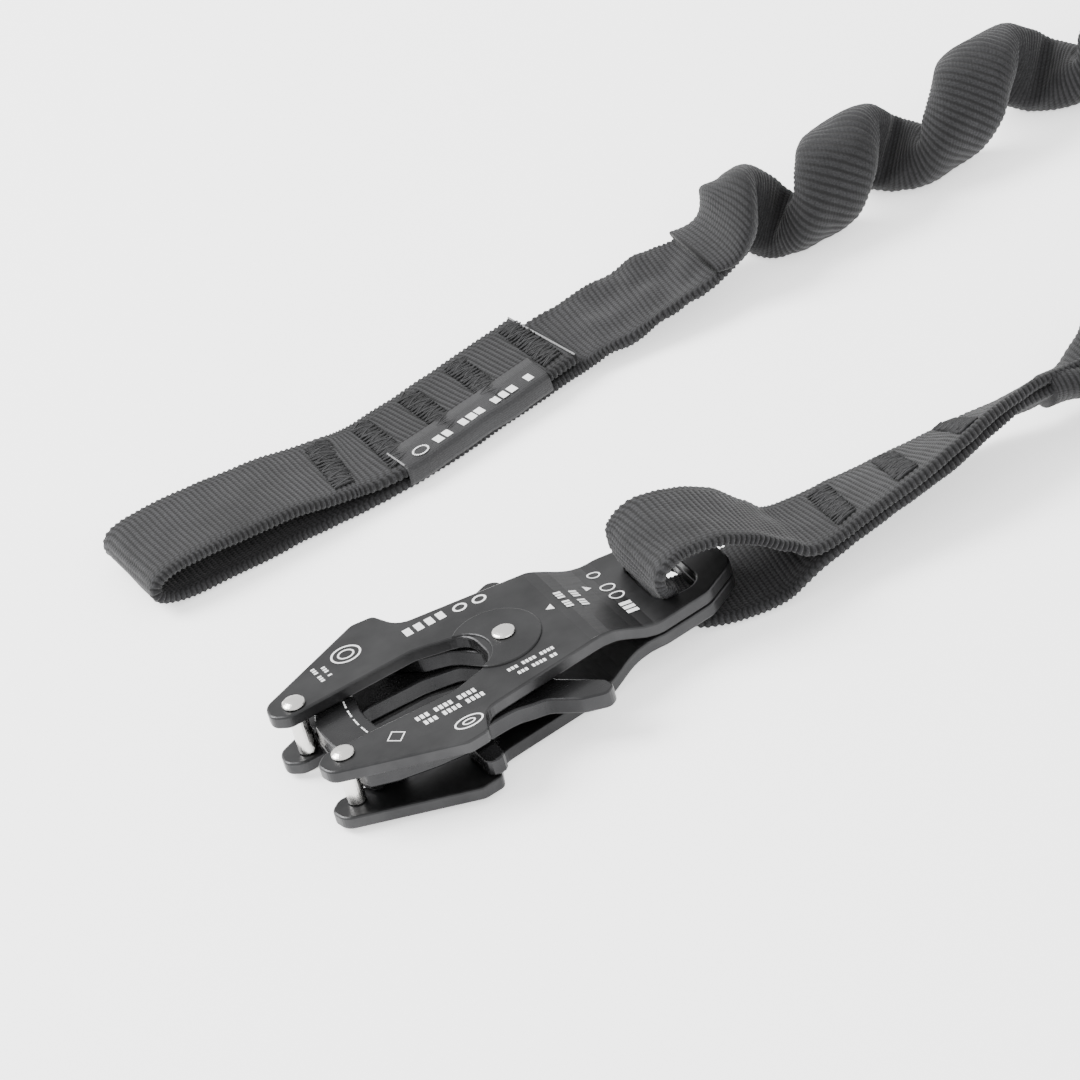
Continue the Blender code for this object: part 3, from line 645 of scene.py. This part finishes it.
for node in ("upper_plate", "lower_plate"):
    dress(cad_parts[node], anodised)
for node in ("gate_near", "gate_far"):
    dress(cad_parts[node], gate_look)
for node in ("front_rivet_near", "front_rivet_far", "front_spacer_near", "front_spacer_far",
             "pivot_rivet", "pivot_bush"):
    dress(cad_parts[node], steel)
for node in ("gate_spring_near", "gate_spring_far"):
    dress(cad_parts[node], spring_look)

# ---------------------------------------------------------------- printed marks


def plate_top(x):
    """The height of the upper plate's face at x, where it bends down towards the eye."""
    return PLATE_TOP - JOGGLE * float(eased(np.array([x]), *JOGGLE_X)[0])


def flat_shapes(name, polygons):
    """One mesh of separate flat faces, each a list of points (x, y, z) in mm."""
    mesh = bpy.data.meshes.new(name)
    points, faces = [], []
    for polygon in polygons:
        faces.append(range(len(points), len(points) + len(polygon)))
        points += [tuple(value * MM for value in place) for place in polygon]
    mesh.from_pydata(points, [], faces)
    made = bpy.data.objects.new(name, mesh)
    bpy.context.scene.collection.objects.link(made)
    return made


def at_height(polygons, height):
    """The polygons' (x, y) points raised to height(x)."""
    return [[(x, y, height(x)) for x, y in polygon] for polygon in polygons]


def box(x, y, w, h):
    return [(x, y), (x + w, y), (x + w, y + h), (x, y + h)]


def ring(x, y, rx, ry, width, steps=28):
    turns = [2 * math.pi * k / steps for k in range(steps + 1)]
    made = []
    for a, b in zip(turns, turns[1:]):
        inner = [(x + (rx - width) * math.cos(t), y + (ry - width) * math.sin(t)) for t in (b, a)]
        made.append([(x + rx * math.cos(t), y + ry * math.sin(t)) for t in (a, b)] + inner)
    return made


def row(x, y, along, count, w, h, gap):
    """A line of small blocks, along X or along Y."""
    blocks = []
    for k in range(count):
        if k % 5 == 3:  # a gap between groups
            continue
        shift = k * (w + gap)
        blocks.append(box(x + shift, y, w, h) if along == "x" else box(x, y - shift - w, h, w))
    return blocks


marks = (
    ring(-28.0, 19.0, 3.4, 2.9, 0.45) + ring(-28.0, 19.0, 1.9, 1.6, 0.4)
    + row(-36.2, 19.6, "y", 7, 0.55, 0.9, 0.28) + row(-34.2, 18.6, "y", 5, 0.55, 0.9, 0.28)
    + [box(-15.6 + 2.6 * k, 14.6, 1.7, 2.6) for k in range(4)]
    + ring(-2.6, 15.4, 1.6, 1.4, 0.5) + ring(1.8, 14.9, 1.6, 1.4, 0.5)
    + row(-27.4, -13.4, "x", 14, 0.75, 1.5, 0.35) + row(-26.6, -15.8, "x", 14, 0.75, 1.5, 0.35)
    + ring(-19.4, -21.4, 3.3, 2.0, 0.4) + ring(-19.4, -21.4, 1.5, 0.9, 0.35)
    + ring(-33.0, -14.6, 2.2, 2.2, 0.35, 4)
    + row(-5.4, -12.6, "x", 14, 0.6, 1.1, 0.25) + row(-4.2, -15.0, "x", 11, 0.6, 1.1, 0.25)
    + [[(10.4, 0.8), (12.0, -0.3), (12.0, 1.9)], [(22.6, 4.8), (21.0, 3.7), (21.0, 5.9)]]
    + row(14.2, 5.0, "y", 7, 0.7, 1.6, 0.3) + row(17.4, 4.6, "y", 7, 0.7, 1.6, 0.3)
    + ring(25.4, 9.6, 1.5, 1.2, 0.35) + ring(25.6, 3.6, 1.7, 1.4, 0.35) + ring(25.8, -0.2, 1.7, 1.4, 0.35)
    + row(24.4, -3.6, "y", 4, 1.2, 2.6, 0.5)
)

def on_label(quads, height):
    """Quads on the hand loop's upper face, from (x, inward, x size, inward size)."""
    return [[across_point(*corner, height)
             for corner in ((x, inward), (x + w, inward), (x + w, inward + h), (x, inward + h))]
            for x, inward, w, h in quads]


# White for the print, and also for the painted highlight on the gate's nose.
ink_and_highlight = metal("white_ink_and_highlight", (0.62, 0.62, 0.62), (0.74, 0.74, 0.74), 0.6, 0.0)
raised = at_height(marks, lambda x: plate_top(x) + (INK_LIFT_BEND if x > 12 else PRINT_AND_HIGHLIGHT_LIFT))
printed = flat_shapes("printed_marks", raised)
dress(printed, ink_and_highlight)
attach(printed, BODY)

label_marks = [(24.4 + 2.3 * k, 0.9, 1.7, 2.5) for k in range(12) if k % 4 != 2]
for k in range(24):
    turn = 2 * math.pi * k / 24
    label_marks.append((20.4 + 1.7 * math.cos(turn), 2.1 + 1.5 * math.sin(turn), 0.4, 0.4))
label_print = flat_shapes("label_marks", on_label(label_marks, 0.58))
dress(label_print, ink_and_highlight)
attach(label_print, BODY)

frayed = cloth("heat_cut_edge", (0.10, 0.10, 0.10), (0.24, 0.24, 0.24), 0.8, 0.1, False)
end_s = hand_rails["along"][-1]
cut = [[on_strip(hand_rails, end_s - 0.25, across, 0.05) for across in np.linspace(-12.4, 12.4, 40)],
       [across_point(LABEL_X[0] + 0.15, inward, 0.5) for inward in np.linspace(0.6, 7.6, 12)]]
cut_edge = thread_curve("cut_edges", cut, THREAD_R)
dress(cut_edge, frayed)
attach(cut_edge, BODY)

# Painted highlight: short bright dashes along the near gate's nose edge, drawn as flat white strips on its
# face.
wear_and_highlight = []
for k in range(15):
    if k % 4 == 3:
        continue
    a, b = (math.radians(NOSE_HIGHLIGHT_DEG[0] + (NOSE_HIGHLIGHT_DEG[1] - NOSE_HIGHLIGHT_DEG[0]) * t / 15)
            for t in (k, k + 0.8))
    wear_and_highlight.append([(r * math.cos(t), r * math.sin(t)) for r, t in zip(
        (NOSE_HIGHLIGHT_R[0], NOSE_HIGHLIGHT_R[0], NOSE_HIGHLIGHT_R[1], NOSE_HIGHLIGHT_R[1]), (a, b, b, a))])
painted_nose_highlight = flat_shapes("nose_highlight", at_height(wear_and_highlight, lambda x: GATE_TOP + PRINT_AND_HIGHLIGHT_LIFT))
dress(painted_nose_highlight, ink_and_highlight)
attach(painted_nose_highlight, "near_gate")
